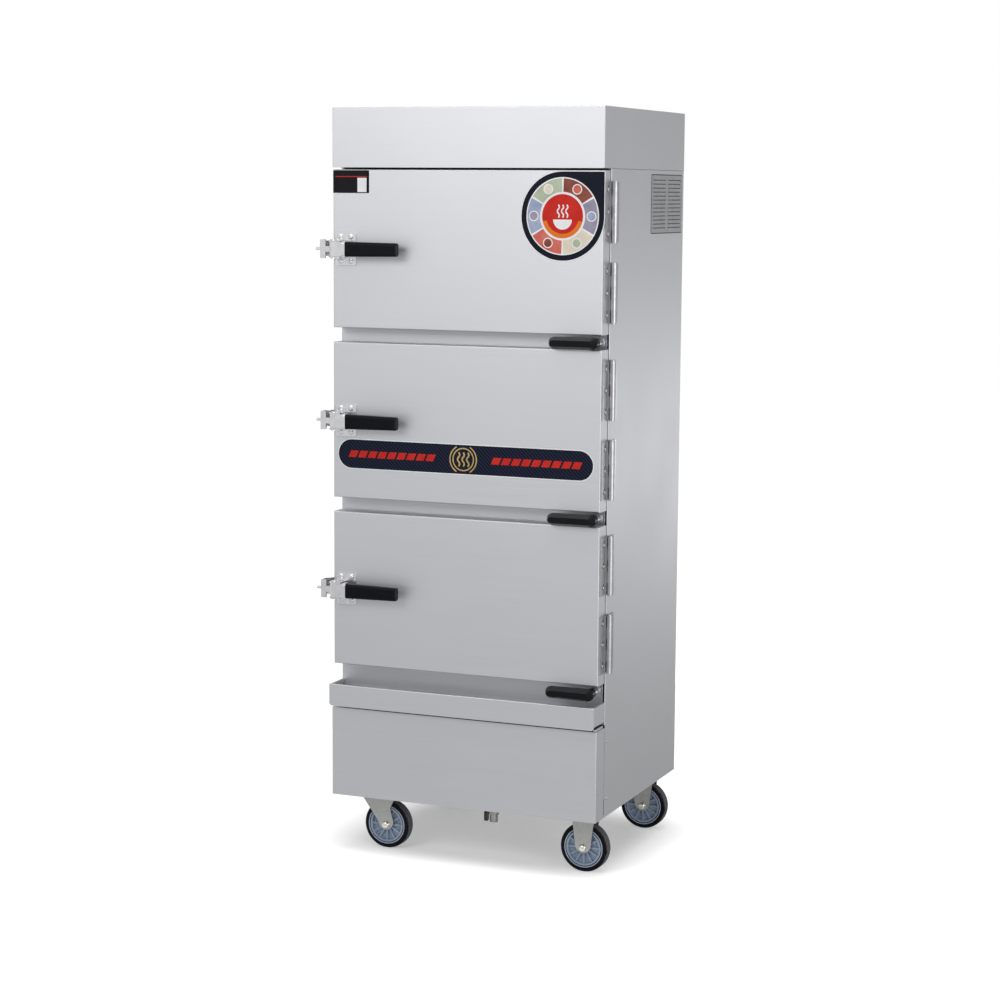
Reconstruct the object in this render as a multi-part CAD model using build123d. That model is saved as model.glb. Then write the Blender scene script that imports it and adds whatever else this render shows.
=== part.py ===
from build123d import *
import math
import os

# Steamer cabinet: three insulated steam compartments over a water tank, on four casters.
# X runs to the cabinet's right, Y to its back and Z up. While the pieces are made, X is zero on
# the middle plane, Y on the front face of the body and Z on the floor. All lengths are in mm.

# Body
body_width = 720
body_depth = 550
skirt_drop = 6
sheet = 1.2
fold = 20
foot_fold = 12
edge_bend = 2.5
edge_lip = 4
seam = 0.3
overrun = 5

# Doors, counted from the lowest
door_names = ["lower", "middle", "upper"]
door_side_gap = 2
door_height = 392
door_front = 50
door_stand_off = 4
door_gap = 36
door_bend = 2.5
door_lip = 16
first_door_rise = 49
cap_clearance = 5
inner_panel_inset = 1.5
inner_field_inset = 45
inner_field_rise = 2.5

# Compartments
mouth_side_margin = 52
mouth_end_margin = 28
liner_back_gap = 70
liner_rim = 12
gasket_width = 11
gasket_inset = 1

# Tray racks
rack_sheet = 1.5
upright_width = 20
upright_thickness = 3
upright_inset = 70
runner_ledge = 14
runner_leg = 12
runner_inset = 22
first_runner = 40
runner_pitch = 72
top_tray_room = 60
rack_head_room = 16

# Top cap
cap_height = 147
cap_lead = 1
cap_fold = 24
cap_bend = 2.5

# Drip tray and lower front panel
panel_height = 235
panel_overhang = 59
panel_fold = 25
panel_bend = 2.5
panel_top_gap = 7
panel_side_gap = 4
panel_screw_radius = 4
panel_screw_height = 2.5
panel_screw_inset = 16
panel_screw_heights = [46, 190]
tongue_depth = 50
tongue_rise = 45
tray_side_gap = 1
tray_height = 56
tray_lead = 18
tray_floor_rise = 30
tray_back_height = 44
tray_corner = 8
tray_hem = 7
tray_hem_height = 9
tray_bend = 2

# Base frame
frame_height = 30
frame_sheet = 3
cross_rail_width = 90
side_rail_width = 32

# Back panel louvres
louvre_rows = 7
louvre_length = 90
louvre_height = 6
louvre_pitch = 18
louvre_rise = 100
louvre_centre = 215

# Casters
wheel_radius = 62.5
caster_headroom = 31
tyre_width = 32
tyre_shoulder = 7
tyre_depth = 16.5
hub_width = 35.4
hub_boss_radius = 15
hub_web = 14
hub_rim = 5
hub_rib_count = 12
hub_rib_thickness = 5
hub_rib_relief = 3
axle_radius = 6
axle_head_radius = 8.5
axle_head_height = 5
bore_clearance = 0.05
fork_sheet = 3
fork_gap = 0.3
fork_foot_radius = 21
fork_foot_rise = 9
fork_top_length = 62
fork_crown_left = 39
fork_crown_right = 69
fork_waist_reach = 12
fork_waist_rise = 45
caster_front_inset = 36
caster_rear_inset = 64
rigid_caster_inset = 60
swivel_inset = 79
swivel_trail = 38
caster_plate_length = 100
caster_plate_thickness = 4
raceway_radius = 26
raceway_height = 6
raceway_gap = 0.3
kingpin_radius = 6
kingpin_head_radius = 11
kingpin_head_height = 4
caster_bolt_across = 11
caster_bolt_height = 5
caster_bolt_spacing_x = 80
caster_bolt_spacing_y = 70

# Hinges, two to a door
hinge_inset = 28
hinge_space = 52
knuckle_count = 5
knuckle_radius = 8.5
knuckle_gap = 0.3
hinge_pin_radius = 4
hinge_pin_head_radius = 6.5
hinge_pin_head_height = 3
leaf_thickness = 3
leaf_reach = 45
leaf_seat = 0.3
leaf_screw_radius = 5
leaf_screw_height = 3.4
leaf_slot_width = 7
leaf_slot_length = 15
leaf_screw_reach = 27
leaf_screw_shares = [0.13, 0.5, 0.87]
screw_dome_share = 0.6
screw_cross_length = 1.1
screw_cross_width = 0.3
screw_cross_depth = 0.5

# Latches, one to a door
latch_plate_inset = 11
latch_plate_width = 55
latch_plate_height = 80
latch_plate_thickness = 3
latch_plate_corner = 4
latch_pin_inset = 8
latch_pin_reach = 36
latch_pin_radius = 4
latch_pin_head_radius = 6
latch_pin_head_height = 2.5
ear_thickness = 3
ear_gap = 36.6
ear_radius = 11
ear_length = 23
ear_play = 3
latch_screw_radius = 6.5
latch_screw_height = 4
latch_screw_inset = 12
latch_screw_spacing_x = 28
latch_screw_spacing_z = 61
lever_play = 0.3
lever_hub_radius = 9
lever_shank = 16
nose_gap = 1
nose_width = 9
nose_height = 14
ferrule_length = 9
ferrule_height = 40
ferrule_depth = 22
tang_length = 110
tang_height = 20
tang_depth = 6
grip_length = 138
grip_root_height = 37
grip_root_depth = 24
grip_tip_height = 33
grip_tip_depth = 20
grip_corner = 6

# Keepers on the left side panel
keeper_sheet = 3
keeper_height = 46
keeper_flange = 50
keeper_flange_start = 6
keeper_jog_length = 18
keeper_reach = 21
keeper_lip_width = 15
keeper_lip_setback = 8
keeper_bolt_radius = 4
keeper_bolt_length = 26
keeper_bolt_setback = 22
keeper_nut_across = 13
keeper_nut_height = 5
keeper_screw_radius = 5
keeper_screw_height = 3

# Steam valves and their handles
valve_inset = 22
valve_drop = 20
valve_body_radius = 15
valve_body_height = 46
bonnet_radius = 11
bonnet_length = 38
bonnet_clearance = 0.5
bonnet_nut_across = 27
bonnet_nut_height = 9
spindle_radius = 4
handle_stand_off = 10
handle_depth = 25
handle_edge = 6
handle_length = 126
handle_height = 30
handle_face_height = 15
handle_face_length = 108
handle_boss_radius = 12
riser_y = 90
valve_y = 34
pipe_radius = 9.5
pipe_wall = 2
pipe_chase_depth = 112
branch_drop = 42
outlet_rise = 82
nozzle_length = 4

# Water tank and what serves it
tank_side_gap = 70
tank_front = 40
tank_back_gap = 50
tank_height = 244
tank_wall = 2
outlet_inset = 40
cross_pipe_gap = 8
heater_radius = 6
heater_spacing = 34
heater_end_gap = 110
heater_height = 30
heater_first = 130
heater_pitch = 110
heater_count = 3
heater_flange_radius = 28
heater_flange_thickness = 7
heater_terminal_radius = 3
heater_terminal_length = 16
heater_hole_clearance = 0.3
inlet_x = -200
inlet_drop = 45
inlet_radius = 10.5
inlet_reach = 22
inlet_hex_across = 30
inlet_hex_length = 10
float_block = 26
float_cheek = 5
float_pin_radius = 3
float_arm_radius = 3.5
float_arm_length = 150
float_ball_radius = 34
float_droop_degrees = 35
drain_x = 24
drain_y = 100
drain_reach = 76
drain_radius = 10.5
drain_body_radius = 14
drain_body_drop = 20
drain_body_height = 36
drain_spindle_radius = 4
drain_spindle_length = 8
lever_hub_length = 7
drain_lever_length = 38
drain_lever_width = 13
drain_lever_thickness = 3
drain_lever_foot = 17
drain_grip_length = 27
gland_inset = 80
gland_rise = 29
gland_radius = 11
gland_bore_radius = 5
gland_hex_across = 28
gland_hex_length = 8
gland_dome_length = 16

# Insulation
foam_fit = 0.4
foam_gap = 3

# Heights that follow from the sizes above, from the floor up
frame_bottom = 2 * wheel_radius + caster_headroom
frame_top = frame_bottom + frame_height
skirt_gap = frame_bottom - skirt_drop
panel_top = skirt_gap + panel_height
lowest_door_bottom = panel_top + tray_height + first_door_rise
door_pitch = door_height + door_gap
door_bottoms = [lowest_door_bottom + door_pitch * i for i in range(len(door_names))]
cap_bottom = door_bottoms[-1] + door_height + cap_clearance
mouth_height = door_height - 2 * mouth_end_margin
runner_count = 1 + int((mouth_height - first_runner - top_tray_room) / runner_pitch)
hinge_height = (door_height - 2 * hinge_inset - hinge_space) / 2
tank_bottom = frame_top
tank_top = tank_bottom + tank_height
cross_pipe_z = tank_top + cross_pipe_gap + pipe_radius
foam_bottom = cross_pipe_z + pipe_radius + foam_gap
inlet_z = tank_top - inlet_drop
gland_z = frame_top + gland_rise
louvre_first = skirt_gap + louvre_rise
drain_outlet_z = frame_bottom - drain_reach
drain_body_top = frame_bottom - drain_body_drop
drain_body_bottom = drain_body_top - drain_body_height

# Places across the width
body_half = body_width / 2
panel_half = body_half - sheet
sheet_half = panel_half - edge_lip
door_half = body_half - door_side_gap
mouth_half = body_half - mouth_side_margin
door_width = 2 * door_half
mouth_width = 2 * mouth_half
tray_width = body_width - 2 * tray_side_gap
tank_width = body_width - 2 * tank_side_gap
outlet_x = tank_width / 2 - outlet_inset
heater_length = tank_width - heater_end_gap
valve_x = body_half - valve_inset
gland_x = gland_inset - body_half
hinge_pin_x = body_half + knuckle_radius + leaf_seat
latch_plate_left = latch_plate_inset - body_half
latch_plate_right = latch_plate_left + latch_plate_width
latch_pin_x = latch_plate_left + latch_pin_inset
keeper_outer_x = -body_half - keeper_reach
keeper_lip_x = keeper_outer_x + keeper_lip_width
rigid_caster_x = body_half - rigid_caster_inset
swivel_x = swivel_inset - body_half
swivel_wheel_x = swivel_x + swivel_trail

# Places from front to back
door_back = -door_stand_off
cap_overhang = door_front + cap_lead
tray_overhang = panel_overhang + tray_lead
latch_pin_y = -door_front - latch_pin_reach
keeper_lip_y = latch_pin_y + keeper_lip_setback
keeper_bolt_y = latch_pin_y + keeper_bolt_setback
keeper_jog_end = door_front
keeper_jog_start = keeper_jog_end - keeper_jog_length
handle_back = door_front + handle_stand_off
handle_front = handle_back + handle_depth
liner_depth = body_depth - liner_back_gap
tank_back = body_depth - tank_back_gap
caster_rows = [caster_front_inset, body_depth - caster_rear_inset]
tyre_inner_radius = wheel_radius - tyre_depth
nodes = {}


def block(x, y, z):
    """Box between two corners, each axis given as its low and high end."""
    spans = (x, y, z)
    size = [high - low for low, high in spans]
    middle = [(high + low) / 2 for low, high in spans]
    return Pos(*middle) * Box(*size)


def grown(span, by):
    """A span made longer by the same amount at both ends."""
    return (span[0] - by, span[1] + by)


def around(middle, size):
    """The span of a size set evenly about its middle."""
    return (middle - size / 2, middle + size / 2)


def mouth_spans(bottom):
    """X and Z spans of the compartment mouth behind a door."""
    middle = bottom + door_height / 2
    return around(0, mouth_width), around(middle, mouth_height)


def rod(start, direction, radius, length):
    """Round bar from a start point along a direction."""
    bar = Cylinder(radius, length, align=(Align.CENTER, Align.CENTER, Align.MIN))
    return Plane(origin=start, z_dir=direction).location * bar


def hex_bar(start, direction, across, length):
    """Hexagonal bar of a size across its flats."""
    outline = RegularPolygon(across / 2, 6, major_radius=False)
    return Plane(origin=start, z_dir=direction).location * extrude(outline, length)


def pan_screw(start, direction, radius, height):
    """Domed screw head with a cross recess, seated on a face."""
    head = Cylinder(radius, height, align=(Align.CENTER, Align.CENTER, Align.MIN))
    head = fillet(head.edges().group_by(Axis.Z)[-1], height * screw_dome_share)
    length = radius * screw_cross_length
    width = radius * screw_cross_width
    for size in ((length, width), (width, length)):
        head -= Pos(0, 0, height) * Box(*size, 2 * height * screw_cross_depth)
    return Plane(origin=start, z_dir=direction).location * head


def joined(pieces):
    """One solid from pieces that touch or overlap."""
    whole = pieces[0]
    for piece in pieces[1:]:
        whole = whole + piece
    return whole


def group(pieces):
    """Separate solids that share a node."""
    solids = [solid for piece in pieces for solid in piece.solids()]
    return Compound(children=solids)


def valve_height(bottom):
    """Height of the steam handle in the gap under a door."""
    return bottom - valve_drop


# Body panels
def side_panel(side):
    """Folded side panel with round edges, and notches for the valve bonnets on the right."""
    y = (0, body_depth)
    z = (panel_top, cap_bottom)
    outer = block((sheet_half, body_half), y, z)
    round_edges = outer.edges().group_by(Axis.X)[-1]
    outer = fillet(round_edges.filter_by(Axis.Z) + round_edges.group_by(Axis.Z)[-1], edge_bend)
    shell = outer - block((sheet_half - overrun, panel_half), grown(y, -sheet), (0, z[1] - sheet))
    wall = block((panel_half, body_half), y, (skirt_gap, panel_top))
    fold_x = (panel_half - fold, panel_half)
    front = block(fold_x, (sheet, 2 * sheet), z)
    back_y = body_depth - sheet
    rear = block(fold_x, (back_y - sheet, back_y), (skirt_gap, cap_bottom))
    foot_x = (panel_half - foot_fold, panel_half)
    foot = block(foot_x, (0, back_y), (skirt_gap, skirt_gap + sheet))
    panel = joined([shell, wall, front, rear, foot])
    if side < 0:
        return mirror(panel, Plane.YZ)
    for bottom in door_bottoms:
        start = (valve_x, 0, valve_height(bottom))
        panel -= rod(start, (0, 1, 0), bonnet_radius + bonnet_clearance, 2 * sheet + overrun)
    return panel


def back_panel():
    """Flat back with a block of louvre slots, the inlet's hole and the cable's hole."""
    y = (body_depth - sheet, body_depth)
    panel = block(around(0, 2 * sheet_half), y, (skirt_gap, cap_bottom))
    for side in (-1, 1):
        for row in range(louvre_rows):
            z = louvre_first + row * louvre_pitch
            slot = block(around(side * louvre_centre / 2, louvre_length), grown(y, overrun),
                         around(z, louvre_height))
            panel -= slot
    start_y = y[0] - overrun
    length = sheet + 2 * overrun
    panel -= rod((inlet_x, start_y, inlet_z), (0, 1, 0), inlet_radius + seam, length)
    panel -= rod((gland_x, start_y, gland_z), (0, 1, 0), gland_radius + seam, length)
    return panel


def front_frame():
    """Front sheet with the three compartment mouths and the bonnet holes."""
    y = (0, sheet)
    plate = block(around(0, 2 * sheet_half), y, (panel_top, cap_bottom))
    for bottom in door_bottoms:
        mouth_x, mouth_z = mouth_spans(bottom)
        plate -= block(mouth_x, grown(y, overrun), mouth_z)
        start = (valve_x, -overrun, valve_height(bottom))
        hole_radius = bonnet_radius + bonnet_clearance
        plate -= rod(start, (0, 1, 0), hole_radius, sheet + 2 * overrun)
    return plate


def top_cap():
    """Hollow crown that covers the roof and stands out over the doors."""
    x = around(0, body_width)
    y = (-cap_overhang, body_depth)
    z = (cap_bottom, cap_bottom + cap_height)
    outer = block(x, y, z)
    front_corners = outer.edges().filter_by(Axis.Z).group_by(Axis.Y)[0]
    outer = fillet(outer.edges().group_by(Axis.Z)[-1] + front_corners, cap_bend)
    hollow = block(grown(x, -sheet), grown(y, -sheet), grown(z, -sheet))
    mouth = block(grown(x, -cap_fold), (0, body_depth - cap_fold), (z[0] - overrun, z[0] + 2 * sheet))
    return outer - hollow - mouth


def insulation():
    """Foam that fills the body round the liners and leaves the pipe chase free."""
    inner_half = panel_half - foam_fit
    front = 2 * sheet + foam_fit
    back = body_depth - 2 * sheet - foam_fit
    foam = block((-inner_half, inner_half), (front, back), (foam_bottom, cap_bottom - sheet - foam_fit))
    for bottom in door_bottoms:
        mouth_x, mouth_z = mouth_spans(bottom)
        room = sheet + foam_fit
        foam -= block(grown(mouth_x, room), (0, liner_depth + room), grown(mouth_z, room))
    chase_x = (mouth_half + sheet, inner_half + overrun)
    foam -= block(chase_x, (0, pipe_chase_depth), (0, cap_bottom))
    return foam


# Compartments
def liner(bottom):
    """Compartment box with a rim behind the front frame and a steam hole at the right."""
    mouth_x, mouth_z = mouth_spans(bottom)
    shell_x = grown(mouth_x, sheet)
    shell_z = grown(mouth_z, sheet)
    shell = block(shell_x, (sheet, liner_depth + sheet), shell_z)
    rim = block(grown(shell_x, liner_rim), (sheet, 2 * sheet), grown(shell_z, liner_rim))
    hollow = block(mouth_x, (0, liner_depth), mouth_z)
    start = (mouth_half - overrun, valve_y, mouth_z[0] + outlet_rise)
    steam_hole = rod(start, (1, 0, 0), pipe_radius + seam, sheet + 2 * overrun)
    return shell + rim - hollow - steam_hole


def tray_rack(bottom, side):
    """One side's rack: two uprights that carry the angle runners."""
    mouth_z = mouth_spans(bottom)[1]
    wall = mouth_half
    upright_x = (wall - upright_thickness, wall)
    leg_x = (upright_x[0] - rack_sheet, upright_x[0])
    ledge_x = (leg_x[0] - runner_ledge, leg_x[1])
    pieces = []
    for y in (upright_inset, liner_depth - upright_inset):
        foot = mouth_z[0]
        pieces.append(block(upright_x, around(y, upright_width), (foot, mouth_z[1] - rack_head_room)))
    for row in range(runner_count):
        z = mouth_z[0] + first_runner + row * runner_pitch
        y = (runner_inset, liner_depth - runner_inset)
        pieces.append(block(leg_x, y, (z, z + runner_leg)))
        pieces.append(block(ledge_x, y, (z, z + rack_sheet)))
    rack = joined(pieces)
    return rack if side > 0 else mirror(rack, Plane.YZ)


# Base
def drip_tray():
    """Channel under the lowest door: a raised floor, a hemmed rim and a skirt with round corners."""
    x = around(0, tray_width)
    y = (-tray_overhang, 0)
    z = (panel_top, panel_top + tray_height)
    outer = block(x, y, z)
    outer = fillet(outer.edges().filter_by(Axis.Y).group_by(Axis.Z)[0], tray_corner)
    outer = fillet(outer.edges().filter_by(Axis.X).group_by(Axis.Y)[0].group_by(Axis.Z)[-1], tray_bend)
    floor_z = z[0] + tray_floor_rise
    hem_z = z[1] - tray_hem_height
    inside = (grown(x, -sheet), grown(y, -sheet))
    outer -= block(*inside, (z[0] - overrun, floor_z))
    outer -= block(grown(x, overrun), inside[1], (z[0] - overrun, z[0] + tray_corner))
    outer -= block(*inside, (floor_z + sheet, hem_z))
    outer -= block(grown(x, -tray_hem), (y[0] + tray_hem, -sheet), (hem_z - overrun, z[1] + overrun))
    low_back_z = (z[0] + tray_back_height, z[1] + overrun)
    return outer - block(grown(x, -tray_hem), (-tray_hem, overrun), low_back_z)


def lower_front_panel():
    """Folded front cover of the base, with tongues inside the side panels."""
    x = around(0, body_width)
    y = (-panel_overhang, -panel_side_gap)
    z = (skirt_gap, panel_top - panel_top_gap)
    outer = block(x, y, z)
    outer = fillet(outer.edges().filter_by(Axis.Z).group_by(Axis.Y)[0], panel_bend)
    hollow = block(grown(x, -sheet), (y[0] + sheet, overrun), grown(z, -sheet))
    floor_mouth = block(grown(x, -sheet), (y[0] + panel_fold, overrun), (0, z[0] + 2 * sheet))
    cover = outer - hollow - floor_mouth
    tongue_x = (panel_half - sheet, panel_half)
    tongue = block(tongue_x, (-tongue_depth / 2, tongue_depth), (z[0] + tongue_rise, z[1] - sheet))
    return joined([cover, tongue, mirror(tongue, Plane.YZ)])


def panel_screws():
    """Screws through the side panels into the lower front panel's tongues."""
    screws = []
    for side in (-1, 1):
        for rise in panel_screw_heights:
            start = (side * body_half, panel_screw_inset, skirt_gap + rise)
            screws.append(pan_screw(start, (side, 0, 0), panel_screw_radius, panel_screw_height))
    return screws


def base_frame():
    """Two cross channels for the casters between two side angles."""
    half = panel_half
    web_z = (frame_bottom, frame_bottom + frame_sheet)
    full_z = (frame_bottom, frame_top)
    pieces = []
    for y in caster_rows:
        rail_y = around(y, cross_rail_width)
        channel = block(around(0, 2 * half), rail_y, full_z)
        trough_x = around(0, 2 * half + overrun)
        trough_z = (web_z[1], frame_top + overrun)
        channel -= block(trough_x, grown(rail_y, -frame_sheet), trough_z)
        pieces.append(channel)
    front = -panel_overhang + 2 * sheet
    back = body_depth - 2 * sheet
    for side in (-1, 1):
        outer = side * half
        inner = side * (half - side_rail_width)
        lip = side * (half - frame_sheet)
        pieces.append(block(sorted((outer, inner)), (front, back), web_z))
        pieces.append(block(sorted((outer, lip)), (sheet, back), full_z))
    return joined(pieces)


# Hinges
def hinge_spans(bottom):
    """Height spans of a door's two hinges."""
    low = bottom + hinge_inset
    high = bottom + door_height - hinge_inset
    return [(low, low + hinge_height), (high - hinge_height, high)]


def knuckle_cut(z, kept):
    """Blocks that clear the other leaf's knuckles."""
    step = (z[1] - z[0]) / knuckle_count
    reach = knuckle_radius + 2 * knuckle_gap
    cuts = []
    for index in range(knuckle_count):
        if index % 2 == kept:
            continue
        low = z[0] + index * step
        span = grown((low, low + step), knuckle_gap / 2)
        cuts.append(block(around(hinge_pin_x, 2 * reach + leaf_seat), around(0, 2 * reach), span))
    return cuts


def leaf_plate(x, y, z, slot_y):
    """Flat hinge plate with three upright slots for its screws."""
    plate = block(x, y, z)
    for share in leaf_screw_shares:
        middle = z[0] + share * (z[1] - z[0])
        slot = extrude(SlotOverall(leaf_slot_length, leaf_slot_width, rotation=90), 2 * leaf_thickness)
        start = (x[0] - leaf_thickness / 2, slot_y, middle + leaf_slot_width / 2)
        plate -= Plane(origin=start, x_dir=(0, 1, 0), z_dir=(1, 0, 0)).location * slot
    return plate


def leaf_screws(x, y, z):
    """Cross-recess screws on a hinge plate, low in their slots."""
    screws = []
    for share in leaf_screw_shares:
        middle = z[0] + share * (z[1] - z[0])
        screws.append(pan_screw((x, y, middle), (1, 0, 0), leaf_screw_radius, leaf_screw_height))
    return screws


def hinge_barrel(z):
    """Tube of the knuckles, before the two leaves share it out."""
    barrel = rod((hinge_pin_x, 0, z[0]), (0, 0, 1), knuckle_radius, z[1] - z[0])
    return barrel


def hinge_bore(z):
    """The pin's hole through every knuckle."""
    start = (hinge_pin_x, 0, z[0] - overrun)
    return rod(start, (0, 0, 1), hinge_pin_radius + bore_clearance, z[1] - z[0] + 2 * overrun)


def body_hinge_leaf(z):
    """Leaf on the side panel, with the outer and middle knuckles."""
    x = (body_half, body_half + leaf_thickness)
    plate = leaf_plate(x, (0, leaf_reach), z, leaf_screw_reach)
    leaf = plate + hinge_barrel(z)
    for cut in knuckle_cut(z, 0):
        leaf -= cut
    return leaf - hinge_bore(z)


def door_hinge_leaf(z):
    """Leaf on the door's edge, joggled out to the two inner knuckles."""
    plate = leaf_plate((door_half, door_half + leaf_thickness), (-leaf_reach, -knuckle_radius), z,
                       -leaf_screw_reach)
    joggle_x = (door_half + leaf_thickness / 2, body_half + leaf_seat + leaf_thickness)
    joggle = block(joggle_x, (-knuckle_radius - leaf_thickness, -knuckle_radius / 2), z)
    leaf = joined([plate, joggle, hinge_barrel(z)])
    for cut in knuckle_cut(z, 1):
        leaf -= cut
    return leaf - hinge_bore(z)


def hinge_pin(z):
    """Headed pin through the knuckles of one hinge."""
    shaft = rod((hinge_pin_x, 0, z[0]), (0, 0, 1), hinge_pin_radius, z[1] - z[0])
    foot = rod((hinge_pin_x, 0, z[0]), (0, 0, -1), hinge_pin_head_radius, hinge_pin_head_height)
    head = rod((hinge_pin_x, 0, z[1]), (0, 0, 1), hinge_pin_head_radius, hinge_pin_head_height)
    return joined([shaft, foot, head])


# Doors
def door_skin(bottom):
    """Folded outer pan of a door, with a lip round its open back."""
    x = around(0, door_width)
    y = (-door_front, door_back)
    z = (bottom, bottom + door_height)
    outer = fillet(block(x, y, z).edges().group_by(Axis.Y)[0], door_bend)
    hollow = block(grown(x, -sheet), grown(y, -sheet), grown(z, -sheet))
    mouth = block(grown(x, -door_lip), (y[1] - 2 * sheet, y[1] + overrun), grown(z, -door_lip))
    return outer - hollow - mouth


def door_inner_panel(bottom):
    """Inner sheet behind the lip, pressed out to a raised middle field."""
    x = around(0, door_width)
    z = (bottom, bottom + door_height)
    back = door_back - sheet
    margin = sheet + inner_panel_inset
    plate = block(grown(x, -margin), (back - sheet, back), grown(z, -margin))
    inset = inner_field_inset + door_lip
    field = block(grown(x, -inset), (back - sheet, back + inner_field_rise), grown(z, -inset))
    field = chamfer(field.edges().group_by(Axis.Y)[-1], inner_field_rise)
    pressed = Pos(0, -sheet, 0) * field
    return plate + field - pressed


def door_gasket(bottom):
    """Silicone frame that closes on the front sheet round the mouth."""
    mouth_x, mouth_z = mouth_spans(bottom)
    y = (door_back - sheet, -seam)
    inner_x = grown(mouth_x, gasket_inset)
    inner_z = grown(mouth_z, gasket_inset)
    outer = block(grown(inner_x, gasket_width), y, grown(inner_z, gasket_width))
    return outer - block(inner_x, grown(y, overrun), inner_z)


# Latches
def latch_middle(bottom):
    """Height of a door's latch."""
    return bottom + door_height / 2


def upright_plate(outline, z, thickness):
    """Flat piece from an outline in X and Y, with its underside at z."""
    return Pos(0, 0, z) * extrude(outline, thickness)


def latch_base(bottom):
    """Plate on the door with two ears, the lever's pin and four screws."""
    z = latch_middle(bottom)
    face = -door_front
    plate = block((latch_plate_left, latch_plate_right), (face - latch_plate_thickness, face),
                  around(z, latch_plate_height))
    plate = fillet(plate.edges().filter_by(Axis.Y), latch_plate_corner)
    ear_right = latch_pin_x + ear_length
    ear_left = latch_pin_x - ear_radius
    ear_y = (latch_pin_y, face - latch_plate_thickness)
    ear_shape = Rectangle(ear_right - ear_left, ear_y[1] - ear_y[0])
    ear_outline = Pos((ear_left + ear_right) / 2, sum(ear_y) / 2) * ear_shape
    ear_outline += Pos(latch_pin_x, latch_pin_y) * Circle(ear_radius)
    front_shape = Rectangle(ear_length, ear_radius)
    ear_outline += Pos(latch_pin_x + ear_length / 2, latch_pin_y - ear_radius / 2) * front_shape
    ears = []
    for low in (z - ear_gap / 2 - ear_thickness, z + ear_gap / 2):
        ears.append(upright_plate(ear_outline, low, ear_thickness))
    bore_start = (latch_pin_x, latch_pin_y, z - latch_plate_height / 2)
    bore = rod(bore_start, (0, 0, 1), latch_pin_radius + bore_clearance, latch_plate_height)
    bracket = joined([plate] + ears) - bore
    stack = ear_gap + 2 * ear_thickness
    foot = (latch_pin_x, latch_pin_y, z - stack / 2)
    top = (latch_pin_x, latch_pin_y, z + stack / 2)
    pin = rod(foot, (0, 0, 1), latch_pin_radius, stack)
    pin += rod(foot, (0, 0, -1), latch_pin_head_radius, latch_pin_head_height)
    pin += rod(top, (0, 0, 1), latch_pin_head_radius, latch_pin_head_height)
    pieces = [bracket, pin]
    first_x = latch_plate_left + latch_screw_inset
    for x in (first_x, first_x + latch_screw_spacing_x):
        for screw_z in around(z, latch_screw_spacing_z):
            start = (x, face - latch_plate_thickness, screw_z)
            pieces.append(pan_screw(start, (0, -1, 0), latch_screw_radius, latch_screw_height))
    return group(pieces)


def latch_lever(bottom):
    """Metal lever: a hub with its nose, a shank, a ferrule and the tang in the grip."""
    z = latch_middle(bottom)
    height = ear_gap - 2 * lever_play
    ferrule_x = latch_pin_x + lever_reach()
    nose_tip = keeper_lip_x + nose_gap
    outline = Pos(latch_pin_x, latch_pin_y) * Circle(lever_hub_radius)
    shank_length = ferrule_x - latch_pin_x
    outline += Pos(latch_pin_x + shank_length / 2, latch_pin_y) * Rectangle(shank_length, lever_shank)
    nose_length = latch_pin_x - nose_tip
    nose_place = Pos(latch_pin_x - nose_length / 2, latch_pin_y + nose_width / 2)
    nose = nose_place * Rectangle(nose_length, nose_width)
    nose = fillet(nose.vertices().group_by(Axis.X)[0], nose_width / 3)
    head = upright_plate(outline, z - height / 2, height)
    head += upright_plate(nose, z - nose_height / 2, nose_height)
    ferrule = block((ferrule_x, ferrule_x + ferrule_length), around(latch_pin_y, ferrule_depth),
                    around(z, ferrule_height))
    ferrule = fillet(ferrule.edges().filter_by(Axis.X), grip_corner)
    tang = block((ferrule_x, ferrule_x + ferrule_length + tang_length), around(latch_pin_y, tang_depth),
                 around(z, tang_height))
    start = (latch_pin_x, latch_pin_y, z - height)
    bore = rod(start, (0, 0, 1), latch_pin_radius + bore_clearance, 2 * height)
    return joined([head, ferrule, tang]) - bore


def lever_reach():
    """Distance from the lever's pin to its ferrule, just past the ears' corners."""
    return math.hypot(ear_length, ear_radius) + ear_play


def rounded_section(x, z, height, depth):
    """Upright rounded rectangle across the grip."""
    outline = RectangleRounded(depth, height, grip_corner)
    return Plane(origin=(x, latch_pin_y, z), x_dir=(0, 1, 0), z_dir=(1, 0, 0)) * outline


def latch_grip(bottom):
    """Tapered rubber grip pushed over the tang."""
    z = latch_middle(bottom)
    start = latch_pin_x + lever_reach() + ferrule_length
    root = rounded_section(start, z, grip_root_height, grip_root_depth)
    tip = rounded_section(start + grip_length, z, grip_tip_height, grip_tip_depth)
    grip = loft([root, tip])
    grip = chamfer(grip.edges().group_by(Axis.X)[-1], grip_corner / 3)
    pocket = block((start - overrun, start + tang_length + bore_clearance),
                   around(latch_pin_y, tang_depth + 2 * bore_clearance),
                   around(z, tang_height + 2 * bore_clearance))
    return grip - pocket


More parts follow.
